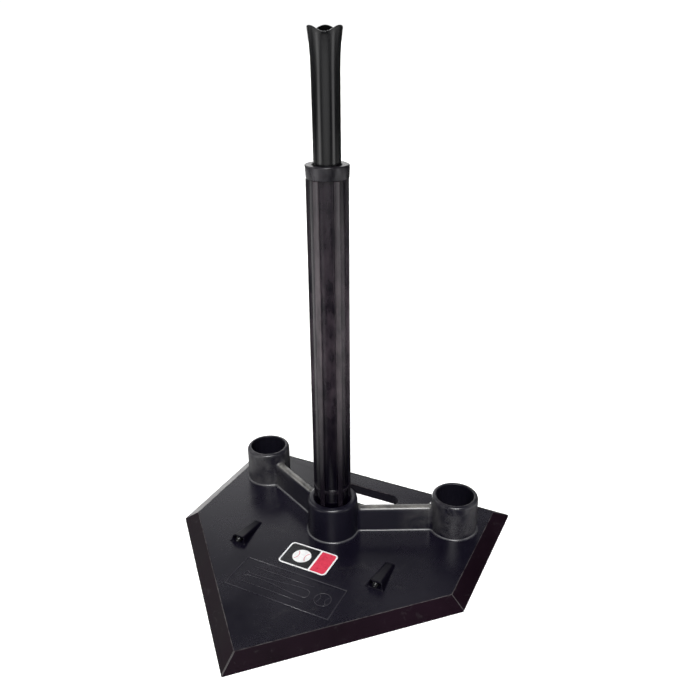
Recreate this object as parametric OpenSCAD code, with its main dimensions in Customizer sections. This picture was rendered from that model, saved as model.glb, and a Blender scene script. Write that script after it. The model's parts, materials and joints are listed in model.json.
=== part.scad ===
// Batting tee: a home-plate base with three post sockets, and a two-part post
// with a ribbed lower tube, a sliding upper tube and a three-lobed ball cup.
// Origin: on the ground, at the centre of the plate's outline. +Y points to
// the plate's long straight edge, -Y to its point, +Z up. Millimetres.

/* [Plate] */
// Width of the home plate, and its depth from straight edge to point
plate_w = 432; // [380:1:500]
// Thickness of the plate
plate_t = 15; // [12:0.5:24]
// Width of the sloping border, seen from above
bevel_w = 19; // [8:1:24]
// Height of the upright edge under the sloping border
lip_h = 3; // [1.5:0.5:6]
// Length of the carrying slot
slot_len = 120; // [90:1:150]
// Width of the carrying slot
slot_w = 38; // [30:1:40]
// Distance of the slot's centre line from the plate's centre
slot_y = 151; // [146:0.5:156]

/* [Sockets] */
// Sideways distance of the outer sockets from the middle
side_x = 154; // [140:1:158]
// Distance of the outer sockets towards the straight edge
side_y = 140; // [120:1:150]
// Distance of the middle socket towards the straight edge
centre_y = 62; // [50:1:75]
// Outside diameter of the two outer sockets
side_od = 65; // [62:0.5:70]
// Outside diameter of the middle socket
centre_od = 70; // [64:0.5:74]
// Bore of every socket
bore_d = 51.8; // [51.6:0.1:54]
// Height of the sockets above the plate
socket_h = 54; // [40:1:60]
// Thickness of the bridges between the sockets
bridge_w = 14; // [8:1:20]
// Height of the bridges above the plate
bridge_h = 37; // [20:1:38]

/* [Stake guides] */
// Sideways distance of the stake guides from the middle
guide_x = 104.5; // [95:0.5:108]
// Width of a stake guide at its mouth
guide_w = 24; // [18:1:28]
// Width of a stake guide at its tail
guide_tail_w = 12; // [6:1:16]
// Height of a stake guide at its mouth
guide_h = 10.5; // [9.5:0.5:14]
// Length of a stake guide
guide_len = 52; // [44:1:60]
// Diameter of the plug in a stake guide
stake_plug_d = 8; // [6:0.5:8]

/* [Badge and raised border] */
// Width of the badge
badge_w = 72; // [50:1:90]
// Depth of the badge
badge_d = 44; // [30:1:50]
// Width of the raised border
border_w = 151; // [100:1:160]
// Depth of the raised border
border_d = 56; // [40:1:60]

/* [Post] */
// Diameter over the lower tube's ribs
tube_od = 50.8; // [48:0.1:51]
// Depth of the channels between the ribs
channel_depth = 3.6; // [2:0.1:4]
// Number of ribs
rib_count = 6; // [3:1:8]
// Width of each rib, in degrees
rib_angle = 17; // [8:1:20]
// Direction of the first rib, in degrees
rib_phase = 24; // [0:1:59]
// Height of the collar's top above the ground
collar_top = 529; // [450:1:560]
// Height of the collar
collar_h = 15.5; // [12:0.5:30]
// Outside diameter of the collar
collar_od = 53; // [52:0.5:60]
// Diameter of the upper tube
upper_od = 33; // [30:0.5:33.5]
// Wall of the upper tube
upper_wall = 4.5; // [3:0.5:6]
// Full length of the upper tube with its cup
upper_len = 490; // [460:1:500]
// Height of the whole tee, as set
tee_h = 675; // [640:1:720]

/* [Ball cup] */
// Height of the flared cup
cup_h = 56; // [45:1:65]
// Diameter across the cup's lip
cup_od = 40; // [36:0.5:46]
// Wall at the cup's lip
cup_wall = 3; // [2:0.5:4]
// Depth of the three dips in the cup's lip
dip_depth = 6; // [3:0.5:8]
// Width of each dip
dip_w = 24; // [14:1:26]

/* [Hidden] */
$fn = 96;

half_w = plate_w / 2;
corner_y = 0;
over = 1;
gap = 0.3;
slope_run = 120;
slot_round = 14;

// Plate outline, counter-clockwise: the point, the right corners, the left corners
outline = [[0, -half_w], [half_w, corner_y], [half_w, half_w], [-half_w, half_w], [-half_w, corner_y]];
bevel_angle = atan2(plate_t - lip_h, bevel_w);

bore_r = bore_d / 2;
rim_chamfer = 2.5;
fillet_w = 3;
socket_top = plate_t + socket_h;
bridge_round = 5;

guide_mouth_y = -26;
guide_tail_h = 1.5;
guide_slope = atan2(guide_h - guide_tail_h, guide_len);
plug_z = plate_t + guide_h / 2;
plug_len = 16;
plug_proud = 1.2;

badge_y = -11.6;
badge_t = 0.5;
badge_round = 6;
border_y = -71.8;
border_line = 1.4;
border_h = 0.7;

tube_r = tube_od / 2;
core_r = tube_r - channel_depth;
tube_bore_r = upper_od / 2 + 1;
tube_foot = plate_t + gap;
tube_top = collar_top - 2;
foot_ring_h = 6;
band_z = socket_top + 19;
band_h = 6.5;
band_sink = 0.8;
rib_top = collar_top - collar_h;

ring_r = upper_od / 2 + 2.6;
ring_bore_r = upper_od / 2 + 0.2;
ring_seat_z = collar_top - 26;

upper_r = upper_od / 2;
upper_foot = tee_h - upper_len;
cup_foot = tee_h - cup_h;
flare_z = cup_foot + 1;
flare_power = 2.5;
plug_collar_h = 12;
plug_stem_h = 15;
plug_hole_r = 6;
cup_floor_r = upper_r - upper_wall;
cup_dip_angle = -64;
dip_r = (dip_w * dip_w / 4 + dip_depth * dip_depth) / (2 * dip_depth);

rubber_black = [0.17, 0.17, 0.18];
moulded_grey = [0.24, 0.24, 0.25];
gloss_black = [0.08, 0.08, 0.09];
satin_black = [0.20, 0.20, 0.21];

// A line's length and direction
function span(a, b) = norm(b - a);
function heading(a, b) = atan2(b[1] - a[1], b[0] - a[0]);

// ---- plate ----

// Everything above the sloping border of the edge from a to b
module border_slope(a, b) {
    translate([a[0], a[1], lip_h])
        rotate([0, 0, heading(a, b)])
            rotate([bevel_angle, 0, 0])
                translate([-slope_run, -slope_run, 0])
                    cube([span(a, b) + 2 * slope_run, 2 * slope_run, slope_run]);
}

module carrying_slot() {
    end_x = slot_len / 2 - slot_round;
    end_y = slot_w / 2 - slot_round;
    deep = plate_t + 2 * over;
    translate([0, slot_y, -over]) {
        translate([-end_x, -slot_w / 2, 0]) cube([2 * end_x, slot_w, deep]);
        translate([-slot_len / 2, -end_y, 0]) cube([slot_len, 2 * end_y, deep]);
        for (x = [-1, 1]) {
            for (y = [-1, 1]) {
                translate([x * end_x, y * end_y, 0]) cylinder(r = slot_round, h = deep);
            }
        }
    }
}

module raised_border() {
    translate([0, border_y, plate_t]) {
        difference() {
            translate([-border_w / 2, -border_d / 2, -over]) cube([border_w, border_d, over + border_h]);
            translate([border_line - border_w / 2, border_line - border_d / 2, -2 * over])
                cube([border_w - 2 * border_line, border_d - 2 * border_line, 4 * over]);
        }
    }
}

module base_plate() {
    color(rubber_black) {
        difference() {
            linear_extrude(height = plate_t) polygon(outline);
            for (i = [0:4]) border_slope(outline[i], outline[(i + 1) % 5]);
            carrying_slot();
        }
        raised_border();
    }
}

module badge() {
    straight_w = badge_w - 2 * badge_round;
    straight_d = badge_d - 2 * badge_round;
    color("white") translate([0, badge_y, plate_t]) {
        translate([-straight_w / 2, -badge_d / 2, 0]) cube([straight_w, badge_d, badge_t]);
        translate([-badge_w / 2, -straight_d / 2, 0]) cube([badge_w, straight_d, badge_t]);
        for (x = [-1, 1]) {
            for (y = [-1, 1]) {
                translate([x * straight_w / 2, y * straight_d / 2, 0]) cylinder(r = badge_round, h = badge_t);
            }
        }
    }
}

// ---- sockets and bridges ----

// Outside of a socket: a foot that spreads onto the plate, a wall and a bevelled rim
module socket_body(od) {
    r = od / 2;
    rotate_extrude() polygon([
        [0, plate_t],
        [r + fillet_w, plate_t],
        [r + fillet_w / 3, plate_t + fillet_w / 3],
        [r, plate_t + fillet_w],
        [r, socket_top - rim_chamfer],
        [r - rim_chamfer / 3, socket_top - rim_chamfer / 3],
        [r - rim_chamfer, socket_top],
        [0, socket_top]
    ]);
}

module socket(x, y, od) {
    color(moulded_grey) translate([x, y, 0]) {
        difference() {
            socket_body(od);
            translate([0, 0, plate_t - over]) cylinder(d = bore_d, h = socket_h + 2 * over);
            translate([0, 0, socket_top - rim_chamfer / 2])
                cylinder(r1 = bore_r, r2 = bore_r + rim_chamfer, h = rim_chamfer);
        }
    }
}

module left_socket() {
    socket(-side_x, side_y, side_od);
}

module centre_socket() {
    socket(0, centre_y, centre_od);
}

module right_socket() {
    socket(side_x, side_y, side_od);
}

// Section of a bridge: upright sides and a rounded top
module bridge_section() {
    half = bridge_w / 2;
    translate([-half, 0]) square([bridge_w, bridge_h - bridge_round]);
    translate([bridge_round - half, 0]) square([bridge_w - 2 * bridge_round, bridge_h]);
    for (side = [-1, 1]) {
        translate([side * (half - bridge_round), bridge_h - bridge_round]) circle(r = bridge_round);
    }
}

module bridge(side) {
    start = [0, centre_y];
    finish = [side * side_x, side_y];
    color(moulded_grey) difference() {
        translate([start[0], start[1], plate_t])
            rotate([0, 0, heading(start, finish) - 90])
                rotate([90, 0, 180])
                    linear_extrude(height = span(start, finish)) bridge_section();
        translate([start[0], start[1], 0]) socket_body(centre_od);
        translate([finish[0], finish[1], 0]) socket_body(side_od);
    }
}

module left_bridge() {
    bridge(-1);
}

module right_bridge() {
    bridge(1);
}

// ---- stake guides ----

// Places its children on the sloping axis of a stake guide's plug, +Z running into the guide
module on_plug_axis(side) {
    translate([side * guide_x, guide_mouth_y, plug_z]) rotate([-90 - guide_slope, 0, 0]) children();
}

module above_plate() {
    translate([-half_w, -half_w, plate_t]) cube([plate_w, plate_w, slope_run]);
}

// A wedge that narrows and sinks from its mouth to its tail
module stake_guide(side) {
    color(rubber_black) difference() {
        translate([side * guide_x, guide_mouth_y, plate_t]) difference() {
            linear_extrude(height = guide_h) polygon([
                [-guide_w / 2, 0],
                [guide_w / 2, 0],
                [guide_tail_w / 2, guide_len],
                [-guide_tail_w / 2, guide_len]
            ]);
            translate([-slope_run / 2, 0, guide_h])
                rotate([-guide_slope, 0, 0])
                    translate([0, -slope_run, 0])
                        cube([slope_run, 2 * slope_run, slope_run]);
        }
        on_plug_axis(side) translate([0, 0, -guide_h]) cylinder(d = stake_plug_d + 2 * gap,
                                                                h = plug_len + guide_h + gap);
    }
}

module stake_plug(side) {
    color(gloss_black) intersection() {
        on_plug_axis(side) translate([0, 0, -plug_proud]) cylinder(d = stake_plug_d,
                                                                   h = plug_len + plug_proud);
        above_plate();
    }
}

module left_stake_guide() {
    stake_guide(-1);
}

module right_stake_guide() {
    stake_guide(1);
}

module left_stake_plug() {
    stake_plug(-1);
}

module right_stake_plug() {
    stake_plug(1);
}

// ---- post ----

// One rib of the lower tube: a slice of the full-diameter ring
module rib(direction) {
    rotate([0, 0, direction - rib_angle / 2])
        rotate_extrude(angle = rib_angle)
            translate([core_r - over, 0]) square([channel_depth + over, rib_top - tube_foot]);
}

module lower_tube() {
    color(gloss_black) translate([0, centre_y, 0]) {
        difference() {
            union() {
                translate([0, 0, tube_foot]) cylinder(r = core_r, h = tube_top - tube_foot);
                translate([0, 0, tube_foot]) {
                    for (i = [0:rib_count - 1]) rib(rib_phase + i * 360 / rib_count);
                    cylinder(r = tube_r - band_sink, h = foot_ring_h);
                }
                translate([0, 0, band_z]) cylinder(r = tube_r - band_sink, h = band_h);
            }
            translate([0, 0, tube_foot - over]) cylinder(r = tube_bore_r, h = tube_top);
            translate([0, 0, ring_seat_z]) cylinder(r = ring_r + gap, h = tube_top);
        }
    }
}

// Collar pressed over the tube's top; its inward lip keeps the grip ring in
module post_collar() {
    r = collar_od / 2;
    edge = 2;
    color(gloss_black) translate([0, centre_y, 0]) {
        difference() {
            rotate_extrude() polygon([
                [0, rib_top],
                [r - edge / 2, rib_top],
                [r, rib_top + edge / 2],
                [r, collar_top - edge],
                [r - edge * 0.3, collar_top - edge * 0.3],
                [r - edge, collar_top],
                [0, collar_top]
            ]);
            translate([0, 0, rib_top - over]) cylinder(r = core_r, h = tube_top - rib_top + over);
            translate([0, 0, rib_top]) cylinder(r = tube_bore_r, h = collar_h + over);
        }
    }
}

module grip_ring() {
    color("dimgray") translate([0, centre_y, ring_seat_z + gap]) {
        difference() {
            cylinder(r = ring_r, h = tube_top - ring_seat_z - 2 * gap);
            translate([0, 0, -over]) cylinder(r = ring_bore_r, h = tube_top - ring_seat_z + over);
        }
    }
}

module upper_tube() {
    color(satin_black) translate([0, centre_y, upper_foot]) {
        difference() {
            cylinder(r = upper_r, h = cup_foot - upper_foot);
            translate([0, 0, -over]) cylinder(r = cup_floor_r, h = cup_foot - upper_foot + 2 * over);
        }
    }
}

// Plug in the upper tube's foot; its wide collar can't pass the grip ring
module end_plug() {
    color("dimgray") translate([0, centre_y, upper_foot]) {
        difference() {
            union() {
                translate([0, 0, -plug_collar_h]) cylinder(r = tube_bore_r - gap, h = plug_collar_h);
                cylinder(r = cup_floor_r, h = plug_stem_h);
            }
            translate([0, 0, -plug_collar_h - over])
                cylinder(r = plug_hole_r, h = plug_collar_h + plug_stem_h + 2 * over);
        }
    }
}

module ball_cup() {
    lip_r = cup_od / 2;
    color(satin_black) translate([0, centre_y, 0]) {
        difference() {
            rotate_extrude() polygon([
                [cup_floor_r, cup_foot],
                [upper_r, cup_foot],
                for (t = [0:0.25:1])
                    [upper_r + (lip_r - upper_r) * pow(t, flare_power), flare_z + (tee_h - flare_z) * t],
                [lip_r - cup_wall, tee_h],
                [cup_floor_r, flare_z]
            ]);
            for (i = [0:2]) {
                rotate([0, 0, cup_dip_angle + i * 120])
                    translate([0, 0, tee_h + dip_r - dip_depth])
                        rotate([0, 90, 0])
                            cylinder(r = dip_r, h = cup_od);
            }
        }
    }
}

base_plate();
left_socket();
centre_socket();
right_socket();
left_bridge();
right_bridge();
left_stake_guide();
right_stake_guide();
left_stake_plug();
right_stake_plug();
badge();
lower_tube();
post_collar();
grip_ring();
upper_tube();
end_plug();
ball_cup();
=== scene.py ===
import json
import math

import bmesh
import bpy
import numpy as np
from mathutils import Matrix, Quaternion, Vector


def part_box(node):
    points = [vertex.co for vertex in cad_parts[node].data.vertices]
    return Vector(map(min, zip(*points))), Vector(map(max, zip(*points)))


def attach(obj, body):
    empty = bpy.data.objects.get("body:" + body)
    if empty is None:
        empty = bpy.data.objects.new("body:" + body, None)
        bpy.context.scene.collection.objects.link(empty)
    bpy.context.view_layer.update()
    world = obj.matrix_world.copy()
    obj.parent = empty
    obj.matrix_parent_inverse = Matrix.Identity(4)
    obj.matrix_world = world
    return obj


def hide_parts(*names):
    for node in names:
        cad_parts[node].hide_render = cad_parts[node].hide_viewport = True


# Batting tee: a moulded home-plate base with three sockets, a ribbed lower tube,
# a sliding upper tube with a flared cup, a badge and two stake guides.
# Everything is in metres, in the CAD frame: +Y to the plate's straight edge, +Z up.

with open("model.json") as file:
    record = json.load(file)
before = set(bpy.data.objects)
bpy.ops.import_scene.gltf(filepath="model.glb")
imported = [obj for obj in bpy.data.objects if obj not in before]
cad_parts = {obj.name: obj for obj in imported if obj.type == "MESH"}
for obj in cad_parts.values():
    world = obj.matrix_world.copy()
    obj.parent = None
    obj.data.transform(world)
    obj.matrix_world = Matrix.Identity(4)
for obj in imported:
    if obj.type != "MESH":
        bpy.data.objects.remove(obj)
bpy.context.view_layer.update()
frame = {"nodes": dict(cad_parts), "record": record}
MM = 0.001


# ---------------------------- camera

VIEW_AZIMUTH = 26.07
VIEW_ELEVATION = 24.2
VIEW_ROLL = math.radians(-0.27)
CAMERA_PLACE = Vector((0.398, -0.6936, 0.678))
SENSOR = 36.0
LENS = 37.6


def direction(azimuth, elevation):
    """Unit vector; azimuth 0 is -Y, towards the plate's point, 90 is +X."""
    az = math.radians(azimuth)
    el = math.radians(elevation)
    return Vector((math.sin(az) * math.cos(el), -math.cos(az) * math.cos(el), math.sin(el)))


def make_camera():
    data = bpy.data.cameras.new("camera")
    data.sensor_width = SENSOR
    data.lens = LENS
    data.clip_start = 0.01
    data.clip_end = 100.0
    camera = bpy.data.objects.new("camera", data)
    bpy.context.scene.collection.objects.link(camera)
    camera.location = CAMERA_PLACE
    camera.rotation_mode = "QUATERNION"
    roll = Quaternion((0.0, 0.0, 1.0), VIEW_ROLL)
    ahead = -direction(VIEW_AZIMUTH, VIEW_ELEVATION)
    camera.rotation_quaternion = ahead.to_track_quat("-Z", "Y") @ roll
    bpy.context.scene.camera = camera


make_camera()


# ---------------------------- sizes taken from the frame

def middle(node):
    low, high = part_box(node)
    return (low + high) / 2


def reach(node, axis):
    """Largest distance of a CAD node's points from the upright axis through a point."""
    points = np.array([v.co for v in frame["nodes"][node].data.vertices])
    return float(np.hypot(points[:, 0] - axis.x, points[:, 1] - axis.y).max())


def mount(name):
    """A mount of the part's record."""
    return next(m for m in frame["record"]["mounts"] if m["name"] == name)


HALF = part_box("base_plate")[1].x
PLATE_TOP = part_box("badge")[0].z
BEVEL_W = 19 * MM
LIP_H = 3 * MM
CORNER_ROUND = 1.5 * MM
EDGE_ROUND = 1.0 * MM

SLOT_LEN = 120 * MM
SLOT_W = 38 * MM
SLOT_Y = 151 * MM
SLOT_ROUND = 14 * MM
SLOT_EDGE = 1.6 * MM

BORE_R = mount("left_socket_bore")["dims"]["r_mm"] * MM
FOOT_SPREAD = 3 * MM
SOCKET_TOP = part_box("left_socket")[1].z
BRIDGE_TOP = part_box("left_bridge")[1].z
BRIDGE_W = 14 * MM
BRIDGE_ROUND = 7 * MM
BRIDGE_TAPER = 0.03

POST = middle("post_collar")
TUBE_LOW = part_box("lower_tube")[0]
TUBE_R = reach("lower_tube", POST)
CHANNEL_DEPTH = 3.6 * MM
COLLAR_LOW, COLLAR_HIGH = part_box("post_collar")
COLLAR_R = reach("post_collar", POST)
COLLAR_FLARE = 0.6 * MM
TUBE_BORE_R = 17.5 * MM
TUBE_TOP = COLLAR_HIGH.z - 2.2 * MM
UPPER_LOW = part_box("upper_tube")[0]
UPPER_R = reach("upper_tube", POST)
UPPER_BORE_R = 12 * MM
CUP_LOW, CUP_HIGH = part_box("ball_cup")
CUP_R = reach("ball_cup", POST)


# ---------------------------- mesh helpers

def mesh_object(name, points, faces, smooth=True):
    mesh = bpy.data.meshes.new(name)
    mesh.from_pydata([tuple(p) for p in points], [], [tuple(f) for f in faces])
    mesh.update()
    return link_mesh(mesh, smooth)


def link_mesh(mesh, smooth=True):
    mesh.polygons.foreach_set("use_smooth", [smooth] * len(mesh.polygons))
    piece = bpy.data.objects.new(mesh.name, mesh)
    bpy.context.scene.collection.objects.link(piece)
    return piece


def face_outwards(piece):
    """Turns a closed mesh's faces to point outwards."""
    work = bmesh.new()
    work.from_mesh(piece.data)
    bmesh.ops.recalc_face_normals(work, faces=work.faces)
    work.to_mesh(piece.data)
    work.free()


def loft_faces(rings, count, closed_along):
    """Quads between rings of `count` points each; the rings close on themselves."""
    faces = []
    last = rings if closed_along else rings - 1
    for i in range(last):
        a = i * count
        b = ((i + 1) % rings) * count
        for j in range(count):
            k = (j + 1) % count
            faces.append((a + j, a + k, b + k, b + j))
    return faces


def loft(name, rings, closed_along=False, caps=False):
    """A skin over a list of point rings, closed along its length or capped at both ends."""
    count = len(rings[0])
    points = [p for ring in rings for p in ring]
    faces = loft_faces(len(rings), count, closed_along)
    if caps:
        faces.append(tuple(range(count)))
        faces.append(tuple(range(len(points) - count, len(points))))
    piece = mesh_object(name, points, faces)
    face_outwards(piece)
    return piece


def rectangle(half_w, half_d):
    return [(-half_w, -half_d), (half_w, -half_d), (half_w, half_d), (-half_w, half_d)]


def round_corners(points, radii, steps=5):
    """A closed outline with each corner replaced by an arc of its own radius."""
    result = []
    count = len(points)
    for i in range(count):
        p = Vector(points[i]).to_2d()
        before = (Vector(points[i - 1]).to_2d() - p).normalized()
        after = (Vector(points[(i + 1) % count]).to_2d() - p).normalized()
        radius = radii[i]
        if radius <= 0:
            result.append(p)
            continue
        half = before.angle(after) / 2
        centre = p + (before + after).normalized() * (radius / math.sin(half))
        start = p + before * (radius / math.tan(half)) - centre
        end = p + after * (radius / math.tan(half)) - centre
        turn = start.angle_signed(end)
        for step in range(steps + 1):
            result.append(centre + Matrix.Rotation(-turn * step / steps, 2) @ start)
    return result


def lathe(name, profile, place, segments=128, turn=None):
    """A ring or closed solid from a closed profile of (radius, height) about an axis at place."""
    rings = []
    for s in range(segments):
        angle = 2 * math.pi * s / segments
        ring = [Vector((r * math.cos(angle), r * math.sin(angle), h)) for r, h in profile]
        if turn is not None:
            ring = [turn @ p for p in ring]
        rings.append([p + place for p in ring])
    return loft(name, rings, closed_along=True)


def smooth_step(value, low, high):
    t = np.clip((value - low) / (high - low), 0.0, 1.0)
    return t * t * (3 - 2 * t)


def add_weighted_normals(piece):
    modifier = piece.modifiers.new("normals", "WEIGHTED_NORMAL")
    modifier.keep_sharp = False
    modifier.weight = 90


# ---------------------------- moulded forms

def soft_min(a, b, width):
    """The lower of two distances, blended where they are within `width` of each other."""
    h = np.maximum(width - np.abs(a - b), 0.0) / width
    return np.minimum(a, b) - h * h * width / 4


def soft_max(a, b, width):
    return -soft_min(-a, -b, width)


def corner_values(field, low, step, shape):
    """The field at each corner of a grid of cubic cells."""
    axes = [low[i] + step * np.arange(shape[i]) for i in range(3)]
    x, y, z = np.meshgrid(*axes, indexing="ij")
    return field(x, y, z)


CELL_CORNERS = [(i, j, k) for i in (0, 1) for j in (0, 1) for k in (0, 1)]
CELL_EDGES = [
    (a, b) for a in range(8) for b in range(a + 1, 8)
    if sum(abs(CELL_CORNERS[a][n] - CELL_CORNERS[b][n]) for n in range(3)) == 1
]


def cell_points(values, low, step):
    """One point for each grid cell that the surface crosses, and the cells' numbers."""
    nx, ny, nz = (n - 1 for n in values.shape)
    corner = [values[i:i + nx, j:j + ny, k:k + nz] for i, j, k in CELL_CORNERS]
    inside = sum((c < 0).astype(np.int8) for c in corner)
    cells = np.argwhere((inside > 0) & (inside < 8))
    where = tuple(cells.T)
    total = np.zeros((len(cells), 3))
    hits = np.zeros(len(cells))
    for a, b in CELL_EDGES:
        va = corner[a][where]
        vb = corner[b][where]
        crossed = (va < 0) != (vb < 0)
        share = np.where(crossed, va / np.where(crossed, va - vb, 1.0), 0.0)
        start = np.array(CELL_CORNERS[a], float)
        run = np.array(CELL_CORNERS[b], float) - start
        total += crossed[:, None] * (start + share[:, None] * run)
        hits += crossed
    points = np.array(low) + step * (cells + total / hits[:, None])
    numbers = -np.ones((nx, ny, nz), np.int64)
    numbers[where] = np.arange(len(cells))
    return points, numbers


def cell_faces(values, numbers):
    """A quad round each grid edge that the surface crosses."""
    faces = []
    for axis in range(3):
        first = [slice(1, -1)] * 3
        second = [slice(1, -1)] * 3
        first[axis] = slice(0, -1)
        second[axis] = slice(1, None)
        a = values[tuple(first)] < 0
        b = values[tuple(second)] < 0
        u, v = [n for n in range(3) if n != axis]
        spots = np.argwhere(a != b)
        spots[:, u] += 1
        spots[:, v] += 1
        quad = []
        for du, dv in ((1, 1), (0, 1), (0, 0), (1, 0)):
            cell = spots.copy()
            cell[:, u] -= du
            cell[:, v] -= dv
            quad.append(numbers[tuple(cell.T)])
        faces.append(np.stack(quad, axis=1))
    return np.concatenate(faces)


def settle(points, field, passes=4, reach_step=0.05 * MM):
    """Moves points onto the field's true surface."""
    for _ in range(passes):
        value = field(*points.T)
        slope = np.zeros_like(points)
        for axis in range(3):
            shifted = points.copy()
            shifted[:, axis] += reach_step
            slope[:, axis] = (field(*shifted.T) - value) / reach_step
        size = np.maximum((slope ** 2).sum(axis=1), 0.25)
        points = points - slope * (value / size)[:, None]
    return points


def moulded(name, field, low, high, step):
    """A closed mesh of the region where the field is below zero."""
    shape = [int(math.ceil((high[i] - low[i]) / step)) + 1 for i in range(3)]
    values = corner_values(field, low, step, shape)
    points, numbers = cell_points(values, low, step)
    faces = cell_faces(values, numbers)
    piece = mesh_object(name, settle(points, field), faces)
    face_outwards(piece)
    return piece


# ---------------------------- base

def inset_outline(inset):
    """The home plate's outline moved inwards, its corners rounded; its point faces -Y."""
    side = HALF - inset
    shoulder = inset * (math.sqrt(2) - 1)
    point = inset * math.sqrt(2) - HALF
    corners = [(0.0, point), (side, shoulder), (side, side), (-side, side), (-side, shoulder)]
    return round_corners(corners, [CORNER_ROUND] * 5)


def slot_outline(grow):
    """The carrying slot's outline, moved outwards by `grow`."""
    corners = rectangle(SLOT_LEN / 2 + grow, SLOT_W / 2 + grow)
    outline = round_corners(corners, [SLOT_ROUND + grow] * 4, steps=12)
    return [p + Vector((0.0, SLOT_Y)) for p in outline]


def edge_rings():
    """(inset, height) up the plate's edge, from the underside to the flat top."""
    profile = [
        (0.0, 0.0), (0.0, LIP_H), (BEVEL_W, PLATE_TOP), (BEVEL_W * 2, PLATE_TOP),
        (BEVEL_W * 2, 0.0),
    ]
    radii = [EDGE_ROUND * 0.6, EDGE_ROUND, EDGE_ROUND * 2.5, 0, 0]
    return round_corners(profile, radii, steps=4)[:-2]


def fill_between(work, outer, inner, up):
    """Triangles between an outer and an inner loop of bmesh points."""
    edges = []
    for loop in (outer, inner):
        for i, a in enumerate(loop):
            b = loop[(i + 1) % len(loop)]
            edges.append(work.edges.get((a, b)) or work.edges.new((a, b)))
    bmesh.ops.triangle_fill(work, edges=edges, use_beauty=True, normal=(0, 0, up))


def add_ring(work, outline, height):
    return [work.verts.new((p[0], p[1], height)) for p in outline]


def join_rings(work, lower, upper):
    for i in range(len(lower)):
        k = (i + 1) % len(lower)
        work.faces.new((lower[i], lower[k], upper[k], upper[i]))


def make_plate():
    work = bmesh.new()
    outer = [add_ring(work, inset_outline(inset), height) for inset, height in edge_rings()]
    for a, b in zip(outer, outer[1:]):
        join_rings(work, a, b)
    edge = [(SLOT_EDGE, 0.0), (SLOT_EDGE * 0.3, SLOT_EDGE * 0.3), (0.0, SLOT_EDGE)]
    levels = edge + [(grow, PLATE_TOP - height) for grow, height in reversed(edge)]
    inner = [add_ring(work, slot_outline(grow), height) for grow, height in levels]
    for a, b in zip(inner, inner[1:]):
        join_rings(work, a, b)
    fill_between(work, outer[-1], inner[-1], 1)
    fill_between(work, outer[0], inner[0], -1)
    bmesh.ops.recalc_face_normals(work, faces=work.faces)
    mesh = bpy.data.meshes.new("plate")
    work.to_mesh(mesh)
    work.free()
    piece = link_mesh(mesh)
    add_weighted_normals(piece)
    return piece


SOCKETS = {name: middle(name) for name in ("left_socket", "centre_socket", "right_socket")}
FILLET = 3.5 * MM
FILLET_REACH = FILLET * 0.93
JOIN_BLEND = 5 * MM
RIM_ROUND = 5 * MM
BORE_ROUND = 1.6 * MM
DRAFT = 0.012
SINK = 1.0 * MM
FLUTES = 16
FLUTE_DEPTH = 0.35 * MM


def socket_radius(name):
    low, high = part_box(name)
    return (high.x - low.x) / 2 - FOOT_SPREAD


def socket_outside(x, y, z, name):
    centre = SOCKETS[name]
    radial = np.hypot(x - centre.x, y - centre.y)
    wall = radial - (socket_radius(name) + DRAFT * (SOCKET_TOP - RIM_ROUND - z))
    return soft_max(wall, z - SOCKET_TOP, RIM_ROUND)


def socket_bore(x, y, name):
    """Below zero outside the bore, which has shallow upright flutes."""
    centre = SOCKETS[name]
    radial = np.hypot(x - centre.x, y - centre.y)
    angle = np.arctan2(y - centre.y, x - centre.x)
    flute = np.maximum(np.cos(FLUTES * angle), 0.0) * FLUTE_DEPTH
    return BORE_R + flute - radial


def bridge_outside(x, y, z, name):
    start = SOCKETS["centre_socket"]
    finish = SOCKETS[name]
    along = Vector((finish.x - start.x, finish.y - start.y))
    length = along.length
    along.normalize()
    s = (x - start.x) * along.x + (y - start.y) * along.y
    across = np.abs((y - start.y) * along.x - (x - start.x) * along.y)
    taper = BRIDGE_TAPER * (BRIDGE_TOP - z)
    bar = soft_max(across - BRIDGE_W / 2 - taper, z - BRIDGE_TOP, BRIDGE_ROUND)
    return soft_max(bar, np.maximum(-s, s - length), 1 * MM)


def sockets_and_bridges(x, y, z):
    form = bridge_outside(x, y, z, "left_socket")
    form = soft_min(form, bridge_outside(x, y, z, "right_socket"), JOIN_BLEND)
    for name in SOCKETS:
        form = soft_min(form, socket_outside(x, y, z, name), JOIN_BLEND)
    solid = soft_min(form, z - PLATE_TOP, FILLET)
    for name in SOCKETS:
        solid = soft_max(solid, socket_bore(x, y, name), BORE_ROUND)
    solid = np.maximum(solid, form - FILLET_REACH)
    return np.maximum(solid, PLATE_TOP - SINK - z)


def make_sockets():
    left_low, left_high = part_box("left_socket")
    right_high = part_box("right_socket")[1]
    centre_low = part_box("centre_socket")[0]
    margin = 8 * MM
    low = Vector((left_low.x - margin, centre_low.y - margin, PLATE_TOP - SINK - margin / 2))
    high = Vector((right_high.x + margin, left_high.y + margin, SOCKET_TOP + margin / 2))
    step = 1.25 * MM
    return moulded("sockets_and_bridges", sockets_and_bridges, low, high, step)


# ---------------------------- stake guides

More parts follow.
